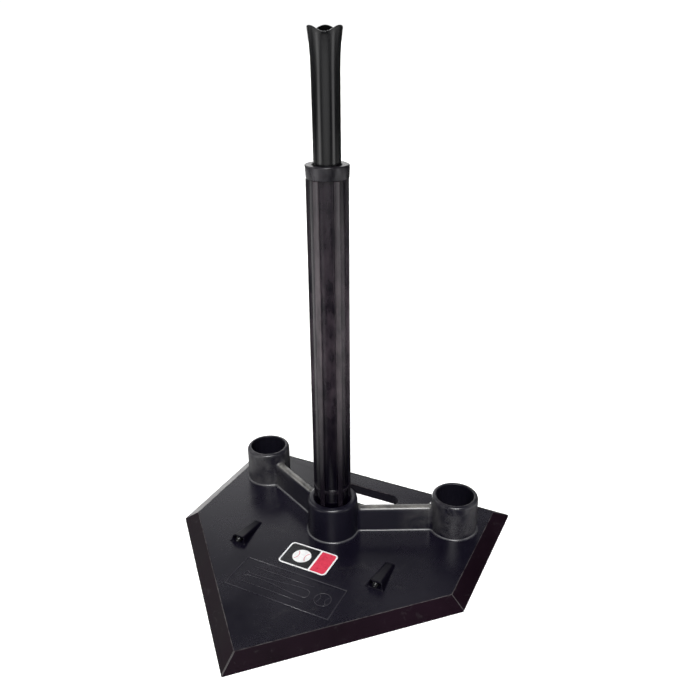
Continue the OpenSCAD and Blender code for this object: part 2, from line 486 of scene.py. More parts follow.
GUIDE_LOW, GUIDE_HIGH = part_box("left_stake_guide")
GUIDE_W = GUIDE_HIGH.x - GUIDE_LOW.x
GUIDE_LEN = GUIDE_HIGH.y - GUIDE_LOW.y
GUIDE_H = GUIDE_HIGH.z - PLATE_TOP
GUIDE_TAIL_W = 12 * MM
GUIDE_TAIL_H = 1.5 * MM
GUIDE_SLOPE = math.atan2(GUIDE_H - GUIDE_TAIL_H, GUIDE_LEN)
GUIDE_LEAN = 0.28
GUIDE_RIDGE_ROUND = 3 * MM
GUIDE_END_ROUND = 2 * MM
GUIDE_FILLET = 1.6 * MM
GUIDE_FILLET_REACH = 1.5 * MM
PLUG_R = 4 * MM
PLUG_LEN = 7 * MM
POCKET_W = 16 * MM
POCKET_H = 7.6 * MM
POCKET_DEPTH = 12 * MM
POCKET_ROUND = 2 * MM
POCKET_END_ROUND = 1.2 * MM
POCKET_RIM_ROUND = 0.8 * MM


def guide_mouth(side):
    """Middle of the guide's mouth, at the plate's top."""
    low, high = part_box(side + "_stake_guide")
    return Vector(((low.x + high.x) / 2, low.y, PLATE_TOP))


def slope_axes(y, z, start):
    """How far a point is along the guide's slope and square to it."""
    run = math.cos(GUIDE_SLOPE)
    fall = math.sin(GUIDE_SLOPE)
    along = (y - start.y) * run - (z - start.z) * fall
    up = (y - start.y) * fall + (z - start.z) * run
    return along, up


def guide_field(side):
    """A sloping, tapering lug with a pocket in its mouth."""
    mouth = guide_mouth(side)
    plug_start = mouth + Vector((0, 0, GUIDE_H / 2))

    def field(x, y, z):
        run = y - mouth.y
        rise = z - PLATE_TOP
        half = (GUIDE_W - (GUIDE_W - GUIDE_TAIL_W) * run / GUIDE_LEN) / 2
        flank = np.abs(x - mouth.x) - half + GUIDE_LEAN * rise
        roof = (rise - GUIDE_H + run * math.tan(GUIDE_SLOPE)) * math.cos(GUIDE_SLOPE)
        form = soft_max(flank, roof, GUIDE_RIDGE_ROUND)
        form = soft_max(form, GUIDE_LEAN * rise - run, GUIDE_END_ROUND)
        form = soft_max(form, run - GUIDE_LEN, GUIDE_END_ROUND)
        solid = soft_min(form, z - PLATE_TOP, GUIDE_FILLET)
        along, up = slope_axes(y, z, plug_start)
        pocket_side = np.abs(x - mouth.x) - POCKET_W / 2
        pocket = soft_max(pocket_side, np.abs(up) - POCKET_H / 2, POCKET_ROUND)
        pocket = soft_max(pocket, along - POCKET_DEPTH, POCKET_END_ROUND)
        solid = soft_max(solid, -pocket, POCKET_RIM_ROUND)
        solid = np.maximum(solid, form - GUIDE_FILLET_REACH)
        return np.maximum(solid, PLATE_TOP - SINK - z)

    return field


def make_stake_guide(side):
    low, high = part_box(side + "_stake_guide")
    margin = 4 * MM
    low = Vector((low.x - margin, low.y - margin, PLATE_TOP - SINK - margin / 2))
    high = Vector((high.x + margin, high.y + margin, high.z + margin))
    return moulded(side + "_guide", guide_field(side), low, high, 0.5 * MM)


def make_stake_plug(side):
    """A domed plug with a ring groove and a centre dimple, lying on the guide's axis."""
    start = guide_mouth(side) + Vector((0, 0, GUIDE_H / 2))
    turn = Matrix.Rotation(-math.pi / 2 - GUIDE_SLOPE, 3, "X")
    r = PLUG_R
    profile = [
        (0.2 * MM, PLUG_LEN), (r * 0.9, PLUG_LEN), (r * 0.98, 6.2 * MM), (r * 0.98, 2.0 * MM),
        (r * 0.9, 1.2 * MM), (r * 0.74, 0.9 * MM), (r * 0.66, 1.3 * MM), (r * 0.6, 1.6 * MM),
        (r * 0.52, 1.0 * MM), (r * 0.4, 0.3 * MM), (r * 0.25, 0.0), (0.2 * MM, -0.1 * MM),
    ]
    return lathe(side + "_plug", profile, start, 48, turn)


# ---------------------------- raised ornament and badge

BORDER = (151 * MM, 56 * MM)
BORDER_Y = -71.8 * MM
BORDER_BEAD_W = 1.4 * MM
BEAD_SINK = 0.4 * MM
BALL_X = 54 * MM
BALL_R = 11 * MM
LINE_ENDS = (-58 * MM, 34 * MM)
LINE_GAP = 15 * MM


def ridge(points, width, height, closed=True, sides=6):
    """Rings of a half-round bead along a flat path on the plate."""
    count = len(points)
    rings = []
    for i, p in enumerate(points):
        before = (p - points[i - 1]).normalized() if closed or i else None
        after = (points[(i + 1) % count] - p).normalized() if closed or i < count - 1 else None
        run_in = before or after
        run_out = after or before
        normal_in = Vector((-run_in.y, run_in.x))
        normal_out = Vector((-run_out.y, run_out.x))
        mitre = (normal_in + normal_out).normalized()
        stretch = 1 / max(mitre.dot(normal_in), 0.4)
        ring = []
        for s in range(sides + 1):
            angle = math.pi * s / sides
            across = mitre * (math.cos(angle) * width / 2 * stretch)
            ring.append((p.x + across.x, p.y + across.y, PLATE_TOP + math.sin(angle) * height))
        for side in (-1, 1):
            across = mitre * (side * width / 2 * stretch)
            ring.append((p.x + across.x, p.y + across.y, PLATE_TOP - BEAD_SINK))
        rings.append(ring)
    return rings


def bead(name, points, width, height, closed=True):
    return loft(name, ridge(points, width, height, closed), closed_along=closed, caps=not closed)


def circle_points(x, y, radius, count=40, start=0.0, turn=2 * math.pi):
    full = abs(turn - 2 * math.pi) < 1e-6
    steps = count if full else count - 1
    return [
        Vector((x + radius * math.cos(start + turn * i / steps),
                y + radius * math.sin(start + turn * i / steps)))
        for i in range(count)
    ]


def bat_points():
    """Outline of a plain bat lying along X, knob to the left."""
    length = 96 * MM
    knob_x = -62 * MM
    stations = [(0.0, 3.4), (0.015, 4.2), (0.04, 3.6), (0.055, 2.0), (0.25, 2.1), (0.45, 3.2),
                (0.65, 5.6), (0.8, 7.0), (0.93, 7.2), (0.98, 5.6), (1.0, 2.6)]
    upper = [Vector((s * length, half * MM)) for s, half in stations]
    lower = [Vector((p.x, -p.y)) for p in reversed(upper)]
    return [Vector((p.x + knob_x, p.y + BORDER_Y)) for p in lower + upper]


def join(pieces, name):
    bpy.ops.object.select_all(action="DESELECT")
    for piece in pieces:
        piece.select_set(True)
    bpy.context.view_layer.objects.active = pieces[0]
    bpy.ops.object.join()
    joined = bpy.context.view_layer.objects.active
    joined.name = name
    joined.data.name = name
    return joined


def make_ornament():
    """A raised border round a plain bat, a ball with two seams and two lines."""
    corners = rectangle((BORDER[0] - BORDER_BEAD_W) / 2, (BORDER[1] - BORDER_BEAD_W) / 2)
    border = [Vector((x, y + BORDER_Y)) for x, y in corners]
    beads = [
        bead("border", border, BORDER_BEAD_W, 0.65 * MM),
        bead("bat", bat_points(), 1.1 * MM, 0.5 * MM),
        bead("ball", circle_points(BALL_X, BORDER_Y, BALL_R), 1.1 * MM, 0.5 * MM),
    ]
    for side in (-1, 1):
        facing = math.pi if side > 0 else 0.0
        arc = circle_points(BALL_X + side * BALL_R * 1.15, BORDER_Y, BALL_R * 0.8, 16,
                            facing - 0.85, 1.7)
        beads.append(bead("seam", arc, 0.8 * MM, 0.4 * MM, closed=False))
    for side in (-1, 1):
        line = [Vector((x, BORDER_Y + side * LINE_GAP)) for x in LINE_ENDS]
        beads.append(bead("line", line, 1.0 * MM, 0.4 * MM, closed=False))
    return join(beads, "raised_ornament")


BADGE_LOW, BADGE_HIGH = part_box("badge")
BADGE_MID = middle("badge")
BADGE_ROUND = 6 * MM
BADGE_RIM = 2.2 * MM
FIELD_END = 0.64
BAND_START = 0.68


def slab(name, outline, low, high, edge=0.08 * MM):
    """A thin sheet with softened upper edges."""
    middle_point = sum(outline, Vector((0.0, 0.0))) / len(outline)
    rings = [
        [(p.x, p.y, low) for p in outline],
        [(p.x, p.y, high - edge) for p in outline],
    ]
    inner = [p + (middle_point - p).normalized() * edge for p in outline]
    rings.append([(p.x, p.y, high) for p in inner])
    piece = loft(name, rings, caps=True)
    add_weighted_normals(piece)
    return piece


def badge_shape(left, right, inset, radii):
    """Outline of a part of the badge between two X shares of its width."""
    half_w = (BADGE_HIGH.x - BADGE_LOW.x) / 2 - inset
    half_d = (BADGE_HIGH.y - BADGE_LOW.y) / 2 - inset
    x0 = BADGE_MID.x - half_w + left * 2 * half_w
    x1 = BADGE_MID.x - half_w + right * 2 * half_w
    y0 = BADGE_MID.y - half_d
    y1 = BADGE_MID.y + half_d
    return round_corners([(x0, y0), (x1, y0), (x1, y1), (x0, y1)], radii, steps=8)


def make_badge():
    """A white-edged label: a dark field with a plain ball, and a red band."""
    ground = BADGE_LOW.z
    top = BADGE_HIGH.z
    r = BADGE_ROUND - BADGE_RIM
    layer = 0.05 * MM
    backing_shape = badge_shape(0, 1, 0, [BADGE_ROUND] * 4)
    field_shape = badge_shape(0, FIELD_END, BADGE_RIM, [r, 0, 0, r])
    band_shape = badge_shape(BAND_START, 1, BADGE_RIM, [0, r, r, 0])
    white = slab("badge_backing", backing_shape, ground, top - 3 * layer)
    dark = slab("badge_field", field_shape, top - 4 * layer, top - 2 * layer)
    red = slab("badge_band", band_shape, top - 4 * layer, top - 2 * layer)
    ball_x = BADGE_MID.x - 10 * MM
    ball_r = 13 * MM
    ball = slab("badge_ball", circle_points(ball_x, BADGE_MID.y, ball_r, 64),
                top - 3 * layer, top - layer)
    seams = []
    for side in (-1, 1):
        facing = math.pi if side > 0 else 0.0
        outer, inner = (
            circle_points(ball_x + side * ball_r * 1.2, BADGE_MID.y, ball_r * share, 20,
                          facing - 0.8, 1.6)
            for share in (0.86, 0.80)
        )
        seams.append(slab("badge_seam", outer + inner[::-1], top - 2 * layer, top - 0.4 * layer,
                          0.02 * MM))
    seam = join(seams, "badge_seams")
    return {"white": [white, ball], "dark": [dark], "red": [red, seam]}


# ---------------------------- post

RIBS = 6
RIB_PHASE = math.radians(24)
RIB_HALF = math.radians(8.5)
RIB_EDGE = math.radians(2.4)
BAND_Z = SOCKET_TOP + 19 * MM
BAND_H = 6.5 * MM
BAND_BLEND = 1.2 * MM
BAND_SINK = 0.8 * MM
FOOT_RING_H = 6 * MM
TUBE_EDGE = 0.8 * MM


def rib_angles():
    """Angles round the tube, close together at the ribs' edges."""
    half_period = math.pi / RIBS
    offsets = list(np.linspace(0, RIB_HALF - RIB_EDGE / 2, 4))
    offsets += list(np.linspace(RIB_HALF - RIB_EDGE / 2, RIB_HALF + RIB_EDGE, 7)[1:])
    offsets += list(np.linspace(RIB_HALF + RIB_EDGE, half_period, 7)[1:])
    both = [-o for o in reversed(offsets[1:-1])] + offsets
    return np.array([RIB_PHASE + 2 * half_period * i + o for i in range(RIBS) for o in both])


def channel_share(angles):
    """0 on a rib, 1 on a channel's floor."""
    period = 2 * math.pi / RIBS
    off = np.abs((angles - RIB_PHASE + period / 2) % period - period / 2)
    return smooth_step(off, RIB_HALF - RIB_EDGE / 2, RIB_HALF + RIB_EDGE)


def around(angles, radius, height):
    """A ring of points about the post's axis."""
    radius = np.broadcast_to(radius, angles.shape)
    height = np.broadcast_to(height, angles.shape)
    x = POST.x + radius * np.cos(angles)
    y = POST.y + radius * np.sin(angles)
    return np.stack([x, y, height], axis=1)


def make_lower_tube():
    """The ribbed tube, with a thinner neck inside the collar."""
    angles = rib_angles()
    share = channel_share(angles)
    low = TUBE_LOW.z
    rib_top = COLLAR_LOW.z
    core = TUBE_R - CHANNEL_DEPTH
    foot_top = low + FOOT_RING_H
    band_top = BAND_Z + BAND_H
    blend = BAND_BLEND
    edge = TUBE_EDGE

    def outside(height):
        """Radius all round at a height: ribs and channels, crossed by foot ring and band."""
        foot = 1 - smooth_step(height, foot_top, foot_top + blend)
        band = smooth_step(height, BAND_Z, BAND_Z + blend)
        band *= 1 - smooth_step(height, band_top - blend, band_top)
        floor = core + max(foot, band) * (CHANNEL_DEPTH - BAND_SINK)
        return TUBE_R + share * (floor - TUBE_R)

    levels = [low + edge] + [foot_top + blend * k for k in (0, 0.5, 1)]
    levels += [BAND_Z + blend * k for k in (0, 0.33, 0.67, 1)]
    levels += [band_top - blend * k for k in (1, 0.67, 0.33, 0)]
    levels += list(np.linspace(band_top, rib_top - blend, 14)[1:]) + [rib_top]
    rings = [around(angles, TUBE_BORE_R + edge, low), around(angles, outside(low) - edge, low)]
    rings.append(around(angles, outside(low) - edge * 0.3, low + edge * 0.3))
    rings += [around(angles, outside(height), height) for height in levels]
    rings += [around(angles, core, height) for height in (rib_top, TUBE_TOP)]
    rings += [around(angles, TUBE_BORE_R, height) for height in (TUBE_TOP, low + edge)]
    piece = loft("lower_tube_body", [[tuple(p) for p in ring] for ring in rings],
                 closed_along=True)
    add_weighted_normals(piece)
    return piece


def make_collar():
    inner = TUBE_BORE_R
    low = COLLAR_LOW.z
    high = COLLAR_HIGH.z
    corners = [
        (inner, low), (COLLAR_R - COLLAR_FLARE, low), (COLLAR_R, high), (inner, high - 0.4 * MM),
    ]
    profile = round_corners(corners, [0.3 * MM, 0.6 * MM, 1.6 * MM, 1.0 * MM], steps=6)
    return lathe("collar", [(p.x, p.y) for p in profile], Vector((POST.x, POST.y, 0)), 144)


CUP_WALL = 3 * MM
FLARE_Z = CUP_LOW.z + 1 * MM
FLARE_POWER = 2.5
DIP_DEPTH = 6 * MM
DIP_ANGLE = math.radians(-64)
TIP_EDGE = 0.6 * MM
LIP_EDGE = TIP_EDGE * 1.4


def lip_height(angles):
    """Height of the cup's lip all round: three lobes with a rounded dip between each."""
    return CUP_HIGH.z - DIP_DEPTH * (1 + np.cos(3 * (angles - DIP_ANGLE))) / 2


def make_upper_tube():
    """The sliding tube and its flared cup, which are one moulding."""
    angles = np.linspace(0, 2 * math.pi, 180, endpoint=False)
    lip = lip_height(angles)
    edge = TIP_EDGE

    def flared(height):
        return np.clip((height - FLARE_Z) / (CUP_HIGH.z - FLARE_Z), 0, 1)

    def outer(height):
        return UPPER_R + (CUP_R - UPPER_R) * flared(height) ** FLARE_POWER

    def inner(height):
        return UPPER_BORE_R + (CUP_R - CUP_WALL - UPPER_BORE_R) * flared(height)

    def cup_heights(shares):
        return [FLARE_Z + share * (lip - LIP_EDGE - FLARE_Z) for share in shares]

    rings = [around(angles, UPPER_BORE_R + edge, UPPER_LOW.z)]
    rings.append(around(angles, UPPER_R - edge, UPPER_LOW.z))
    rings.append(around(angles, UPPER_R, UPPER_LOW.z + edge))
    for height in np.linspace(UPPER_LOW.z + 10 * MM, FLARE_Z, 24):
        rings.append(around(angles, UPPER_R, height))
    for height in cup_heights(np.linspace(0, 1, 18)[1:]):
        rings.append(around(angles, outer(height), height))
    half_wall = CUP_WALL / 2
    for turn in np.linspace(0, math.pi, 9)[1:-1]:
        height = lip - LIP_EDGE * (1 - math.sqrt(math.sin(turn)))
        centre = (outer(lip) + inner(lip)) / 2
        across = math.copysign(math.sqrt(abs(math.cos(turn))), math.cos(turn))
        rings.append(around(angles, centre + half_wall * across, height))
    for height in cup_heights(np.linspace(1, 0, 14)):
        rings.append(around(angles, inner(height), height))
    for height in np.linspace(FLARE_Z, UPPER_LOW.z + edge, 16)[1:]:
        rings.append(around(angles, UPPER_BORE_R, height))
    rings = [[tuple(p) for p in ring] for ring in rings]
    return loft("upper_tube_and_cup", rings, closed_along=True)


# ---------------------------- materials

class Nodes:
    """A shader's node tree, built up one node at a time."""

    def __init__(self, tree):
        self.nodes = tree.nodes
        self.links = tree.links

    def put(self, socket, value):
        """Links another node's output to a socket, or sets the socket to a constant."""
        if isinstance(value, bpy.types.NodeSocket):
            self.links.new(value, socket)
        else:
            socket.default_value = value

    def add(self, kind, inputs, operation=None):
        """Makes a node and fills its inputs, which are named or numbered."""
        node = self.nodes.new("ShaderNode" + kind)
        if operation:
            node.operation = operation
        for key, value in inputs.items():
            self.put(node.inputs[key], value)
        return node

    def spread(self, value, low, high, out_low=0.0, out_high=1.0, curve="LINEAR"):
        """Maps the range from low to high onto another range, and holds it at the ends."""
        node = self.add("MapRange", {
            "Value": value, "From Min": low, "From Max": high,
            "To Min": out_low, "To Max": out_high,
        })
        node.interpolation_type = curve
        return node.outputs["Result"]

    def sums(self, a, b, operation="ADD", clamp=False):
        node = self.add("Math", {0: a, 1: b}, operation)
        node.use_clamp = clamp
        return node.outputs["Value"]


class Material(Nodes):
    """A material with object coordinates and one principled shader."""

    def __init__(self, name, roughness, specular=0.5):
        self.data = bpy.data.materials.new(name)
        self.data.use_nodes = True
        super().__init__(self.data.node_tree)
        self.shader = self.nodes["Principled BSDF"]
        self.shader.inputs["Roughness"].default_value = roughness
        self.shader.inputs["Specular IOR Level"].default_value = specular
        self.coordinates = self.add("TexCoord", {}).outputs["Object"]
        self.height = None

    def stretch(self, scale):
        inputs = {"Vector": self.coordinates, "Scale": scale}
        return self.add("Mapping", inputs).outputs["Vector"]

    def noise(self, scale, detail=3.0, rough=0.55, coordinates=None, distortion=0.0):
        return self.add("TexNoise", {
            "Vector": coordinates or self.coordinates, "Scale": scale, "Detail": detail,
            "Roughness": rough, "Distortion": distortion,
        }).outputs["Fac"]

    def along(self, axis):
        return self.add("SeparateXYZ", {"Vector": self.coordinates}).outputs[axis]

    def from_axis(self, place):
        """Distance from the upright axis through a point."""
        flat = self.add("Mapping", {
            "Vector": self.coordinates, "Location": (-place.x, -place.y, 0.0),
            "Scale": (1.0, 1.0, 0.0),
        })
        return self.add("VectorMath", {0: flat.outputs["Vector"]}, "LENGTH").outputs["Value"]

    def up(self):
        """Upward part of the surface's direction: 1 on top, 0 on a wall."""
        normal = self.add("NewGeometry", {}).outputs["Normal"]
        return self.add("SeparateXYZ", {"Vector": normal}).outputs["Z"]

    def colours(self, fac, stops):
        node = self.nodes.new("ShaderNodeValToRGB")
        for element, (place, colour) in zip(node.color_ramp.elements, stops):
            element.position = place
            element.color = (*colour, 1.0)
        self.links.new(fac, node.inputs["Fac"])
        return node.outputs["Color"]

    def colour(self, value):
        self.links.new(value, self.shader.inputs["Base Color"])

    def cover(self, share, colour):
        """Lays another colour over the material so far."""
        plain = self.shader.inputs["Base Color"].links[0].from_socket
        node = self.nodes.new("ShaderNodeMix")
        node.data_type = "RGBA"
        self.links.new(share, node.inputs["Factor"])
        self.links.new(plain, node.inputs[6])
        node.inputs[7].default_value = (*colour, 1.0)
        self.colour(node.outputs[2])

    def roughness(self, value):
        self.links.new(value, self.shader.inputs["Roughness"])

    def bump(self, value, distance, strength=1.0):
        inputs = {"Strength": strength, "Distance": distance, "Height": value}
        if self.height is not None:
            inputs["Normal"] = self.height
        self.height = self.add("Bump", inputs).outputs["Normal"]
        self.links.new(self.height, self.shader.inputs["Normal"])


RUBBED_ROUGHNESS = 0.16
# Heights of the post's painted light: painted shade at the foot, a painted sheen between the
# middle heights, less of it towards the top.
SHADED_FOOT_TOP = 130 * MM
SHEEN_FULL_FROM = 260 * MM
SHEEN_FULL_TO = 340 * MM
DIMMER_TOP = 480 * MM
TOP_SHEEN_SHARE = 0.42


def moulded_rubber(name, dark, light, rough_low, rough_high, specular):
    """Black rubber with a cloudy bloom, a fine grain and small pits."""
    m = Material(name, (rough_low + rough_high) / 2, specular)
    cloud = m.noise(9.0, 4.0, 0.6)
    speck = m.noise(900.0, 2.0, 0.5)
    tone = m.sums(m.sums(cloud, 0.75, "MULTIPLY"), m.sums(speck, 0.25, "MULTIPLY"))
    m.colour(m.colours(m.spread(tone, 0.35, 0.65), [(0.0, dark), (1.0, light)]))
    rough = m.sums(cloud, m.sums(speck, 0.4, "MULTIPLY"))
    m.roughness(m.spread(rough, 0.5, 0.95, rough_low, rough_high))
    m.bump(m.noise(45.0, 3.0, 0.6), 0.3 * MM, 0.15)
    m.bump(m.noise(160.0, 2.0, 0.5), 0.06 * MM, 0.22)
    m.bump(m.noise(2600.0, 2.0, 0.6), 0.010 * MM, 0.6)
    return m


def worn_and_highlit_tops(m, worn, height, depth):
    """Lighter, smoother, worn rubber on upward faces near a height, whose light colour is also a
    painted highlight.
    """
    above = m.spread(m.along("Z"), height - depth, height - depth * 0.3)
    below = m.spread(m.along("Z"), height + depth, height + depth * 0.5)
    near = m.sums(m.sums(above, below, "MULTIPLY"), m.spread(m.up(), 0.35, 0.85), "MULTIPLY")
    patches = m.spread(m.noise(70.0, 4.0, 0.65), 0.25, 0.7)
    share = m.sums(near, patches, "MULTIPLY", clamp=True)
    m.cover(share, worn)
    rough = m.shader.inputs["Roughness"].links[0].from_socket
    kept = m.sums(m.sums(1.0, share, "SUBTRACT"), rough, "MULTIPLY")
    m.roughness(m.sums(kept, m.sums(share, RUBBED_ROUGHNESS, "MULTIPLY")))


def painted_fillet_highlight(m, pale_colour, foot, height):
    """A painted highlight: pale colour in the fillets that rise to `height` above a foot."""
    above = m.spread(m.along("Z"), foot, foot + height * 0.4)
    below = m.spread(m.along("Z"), foot + height, foot + height * 0.5)
    slope = m.sums(m.spread(m.up(), 0.15, 0.45), m.spread(m.up(), 0.98, 0.85), "MULTIPLY")
    near = m.sums(m.sums(above, below, "MULTIPLY"), slope, "MULTIPLY")
    patches = m.spread(m.noise(60.0, 3.0, 0.6), 0.2, 0.6)
    m.cover(m.sums(near, patches, "MULTIPLY", clamp=True), pale_colour)


def dusty_patches(m, pale_colour, scale, low, high, where=None):
    """Pale, smeared patches of dust, everywhere or in proportion to `where`."""
    patch = m.spread(m.noise(scale, 6.0, 0.7, distortion=0.6), low, high)
    if where is not None:
        patch = m.sums(patch, where, "MULTIPLY", clamp=True)
    m.cover(patch, pale_colour)


def streaked_rubber(name, dark, light, rough_low, rough_high, specular, mottle):
    """Black rubber of the post: upright streaks and pale mottling, with painted shade at the foot,
    a painted sheen in the middle and less of it at the top.
    """
    m = Material(name, (rough_low + rough_high) / 2, specular)
    streak = m.noise(60.0, 3.0, 0.6, m.stretch((1.0, 1.0, 0.06)))
    cloud = m.noise(24.0, 3.0, 0.5)
    blot = m.noise(70.0, 3.0, 0.6, m.stretch((1.0, 1.0, 0.45)))
    tone = m.sums(m.sums(streak, 1 - mottle, "MULTIPLY"), m.sums(blot, mottle, "MULTIPLY"))
    # The mottling's strength by height is painted light: none at the foot (painted shade), full in
    # the middle (painted sheen), less at the top.
    rise = m.spread(m.along("Z"), SHADED_FOOT_TOP, SHEEN_FULL_FROM)
    fall = m.spread(m.along("Z"), SHEEN_FULL_TO, DIMMER_TOP, 1.0, TOP_SHEEN_SHARE)
    painted_sheen_by_height = m.sums(rise, fall, "MULTIPLY")
    share = m.sums(m.spread(tone, 0.36, 0.64), painted_sheen_by_height, "MULTIPLY", clamp=True)
    m.colour(m.colours(share, [(0.0, dark), (1.0, light)]))
    m.roughness(m.spread(m.sums(streak, cloud), 0.7, 1.3, rough_low, rough_high))
    m.bump(streak, 0.10 * MM, 0.35)
    m.bump(m.noise(2200.0, 2.0, 0.5), 0.008 * MM, 0.5)
    return m


def speckled_plastic(name, dark, light, rough_low, rough_high, specular):
    """Hard moulded plastic with small changes of gloss."""
    m = Material(name, (rough_low + rough_high) / 2, specular)
    m.colour(m.colours(m.noise(300.0), [(0.3, dark), (0.7, light)]))
    m.roughness(m.spread(m.noise(420.0), 0.3, 0.7, rough_low, rough_high))
    m.bump(m.noise(900.0), 0.03 * MM, 0.4)
    return m


def printed_vinyl(name, worn, fresh):
    """Printed label: slightly uneven ink under a satin film."""
    m = Material(name, 0.3, 0.4)
    m.colour(m.colours(m.noise(140.0, 4.0, 0.6), [(0.35, worn), (0.6, fresh)]))
    m.roughness(m.spread(m.noise(900.0), 0.3, 0.7, 0.24, 0.40))
    m.bump(m.noise(1800.0), 0.015 * MM, 0.4)
    return m


# Darkest and lightest colour, lowest and highest roughness, specular level.
MOULDED = {
    "base": ((0.0038, 0.0031, 0.0080), (0.0078, 0.0066, 0.0132), 0.20, 0.34, 0.5),
    # border and point: darker, redder copies of the plate's rubber for its sloping border; the
    # darkness is painted shade.
    "border": ((0.0042, 0.0014, 0.0034), (0.0090, 0.0036, 0.0074), 0.36, 0.50, 0.10),
    "point": ((0.0042, 0.0014, 0.0034), (0.0090, 0.0036, 0.0074), 0.36, 0.50, 0.03),
    "worn": ((0.0060, 0.0030, 0.0050), (0.0130, 0.0070, 0.0110), 0.34, 0.48, 0.3),
    # mitre: light grey, a painted highlight on the rounded mitres of the border.
    "mitre": ((0.030, 0.027, 0.028), (0.080, 0.075, 0.076), 0.34, 0.48, 0.3),
    "socket": ((0.0040, 0.0034, 0.0085), (0.0085, 0.0078, 0.0140), 0.24, 0.38, 0.5),
    "wall": ((0.0040, 0.0034, 0.0085), (0.0085, 0.0078, 0.0140), 0.24, 0.38, 0.26),
    # bore: a darker copy of the socket rubber, painted shade in the bores.
    "bore": ((0.0036, 0.0032, 0.0070), (0.0076, 0.0070, 0.0115), 0.30, 0.46, 0.35),
    # ornament: a lighter copy of the plate's rubber, a painted highlight on the raised beads.
    "ornament": ((0.010, 0.009, 0.015), (0.040, 0.038, 0.046), 0.24, 0.36, 0.5),
    # guide: a darker copy of the plate's rubber, painted shade on the stake guides and in the
    # slot.
    "guide": ((0.0014, 0.0010, 0.0036), (0.0036, 0.0028, 0.0070), 0.30, 0.46, 0.14),
    "upper": ((0.0020, 0.0020, 0.0026), (0.0054, 0.0054, 0.0062), 0.16, 0.26, 0.5),
    # inside: a near-black copy of the upper tube's rubber, painted shade in its bore and cup.
    "inside": ((0.0008, 0.0008, 0.0010), (0.0016, 0.0016, 0.0020), 0.55, 0.70, 0.02),
}
# The same, with the share of mottling against streaks.
STREAKED = {
    "post": ((0.0060, 0.0044, 0.0072), (0.0900, 0.0750, 0.0820), 0.14, 0.27, 0.4, 0.3),
    "channel": ((0.0010, 0.0004, 0.0026), (0.0360, 0.0270, 0.0340), 0.14, 0.26, 0.38, 0.7),
    "collar": ((0.0020, 0.0014, 0.0036), (0.0660, 0.0620, 0.0690), 0.20, 0.36, 0.4, 0.85),
}
PLASTICS = {
    "plug": ((0.004, 0.004, 0.005), (0.010, 0.010, 0.011), 0.08, 0.22, 0.6),
    "ring": ((0.03, 0.03, 0.033), (0.06, 0.06, 0.064), 0.42, 0.60, 0.5),
}
# Worn and fresh ink.
INKS = {
    "white": ((0.80, 0.80, 0.80), (0.90, 0.90, 0.90)),
    "dark": ((0.008, 0.008, 0.010), (0.018, 0.018, 0.020)),
    "red": ((0.60, 0.036, 0.075), (0.72, 0.055, 0.100)),
}


def make_materials():
    made = {key: moulded_rubber(key + "_rubber", *look) for key, look in MOULDED.items()}
    made.update({key: streaked_rubber(key + "_rubber", *look) for key, look in STREAKED.items()})
    made.update({key: speckled_plastic(key + "_plastic", *look) for key, look in PLASTICS.items()})
    made.update({key: printed_vinyl("badge_" + key, *look) for key, look in INKS.items()})
    dusty_patches(made["base"], (0.030, 0.029, 0.032), 26.0, 0.60, 0.85)
    dusty_patches(made["worn"], (0.11, 0.105, 0.105), 45.0, 0.40, 0.72)
    for m in (made["border"], made["point"]):
        dusty_patches(m, (0.040, 0.036, 0.038), 60.0, 0.58, 0.85)
    for m in (made["socket"], made["wall"]):
        outer_share = m.spread(m.from_axis(SOCKETS["centre_socket"]), 90 * MM, 130 * MM)
        dusty_patches(m, (0.070, 0.068, 0.070), 34.0, 0.40, 0.80, outer_share)
        # The bridges' crests: worn rubber, painted lighter also as their highlight.
        worn_and_highlit_tops(m, (0.22, 0.215, 0.20), BRIDGE_TOP, 3.0 * MM)
        # Painted highlight along the fillets at the foot of the sockets and bridges.
        painted_fillet_highlight(m, (0.12, 0.12, 0.125), PLATE_TOP, FILLET)
    return made


MATERIALS = make_materials()


def finish_piece(piece, material, slot_name, *nodes, body="base"):
    """Gives a piece its material and body, and hides the CAD nodes it stands for."""
    piece.data.materials.clear()
    piece.data.materials.append(MATERIALS[material].data)
    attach(piece, body)
    if nodes:
        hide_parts(*nodes)


def paint_faces(piece, material, chosen):
    """Gives some of a piece's faces another material."""
    piece.data.materials.append(MATERIALS[material].data)
    for face in piece.data.polygons:
        if chosen(face):
            face.material_index = len(piece.data.materials) - 1


# Which faces have which look: upward parts of their direction, angles and distances.
FLAT_UP = 0.95
WALL_UP = 0.3
SLOT_EDGE_UP = 0.6
WORN_UP = (0.87, 0.99)
POINT_SIDE = 0.2
RUN_SPREAD = 4.0
INNER_REACH = 135 * MM
BORE_EDGE = 0.9 * MM
TO_AXIS = -0.3


def off_slot(point):
    """Whether a point of the plate is away from the carrying slot's wall."""
    half_len = SLOT_LEN / 2 + EDGE_ROUND
    half_w = SLOT_W / 2 + EDGE_ROUND
    return abs(point.x) > half_len or abs(point.y - SLOT_Y) > half_w


def slopes(face):
    """Whether a face is part of the plate's sloping border."""
    return face.normal.z < FLAT_UP and off_slot(face.center)


def faces_point(face):
    """Whether a face is part of the border to the right of the plate's point."""
    return slopes(face) and face.normal.x > POINT_SIDE and face.normal.y < -POINT_SIDE


def turns_corner(face):
    """Whether a face is on a mitre of the border, whose straight runs face a multiple of 45."""
    bearing = math.degrees(math.atan2(face.normal.y, face.normal.x)) % 45
    between_runs = RUN_SPREAD < bearing < 45 - RUN_SPREAD
    return between_runs and WALL_UP < face.normal.z < FLAT_UP and off_slot(face.center)


def is_worn_edge(face):
    """Whether a face belongs to the rounded edge between the flat top and the border."""
    return WORN_UP[0] < face.normal.z < WORN_UP[1] and off_slot(face.center)


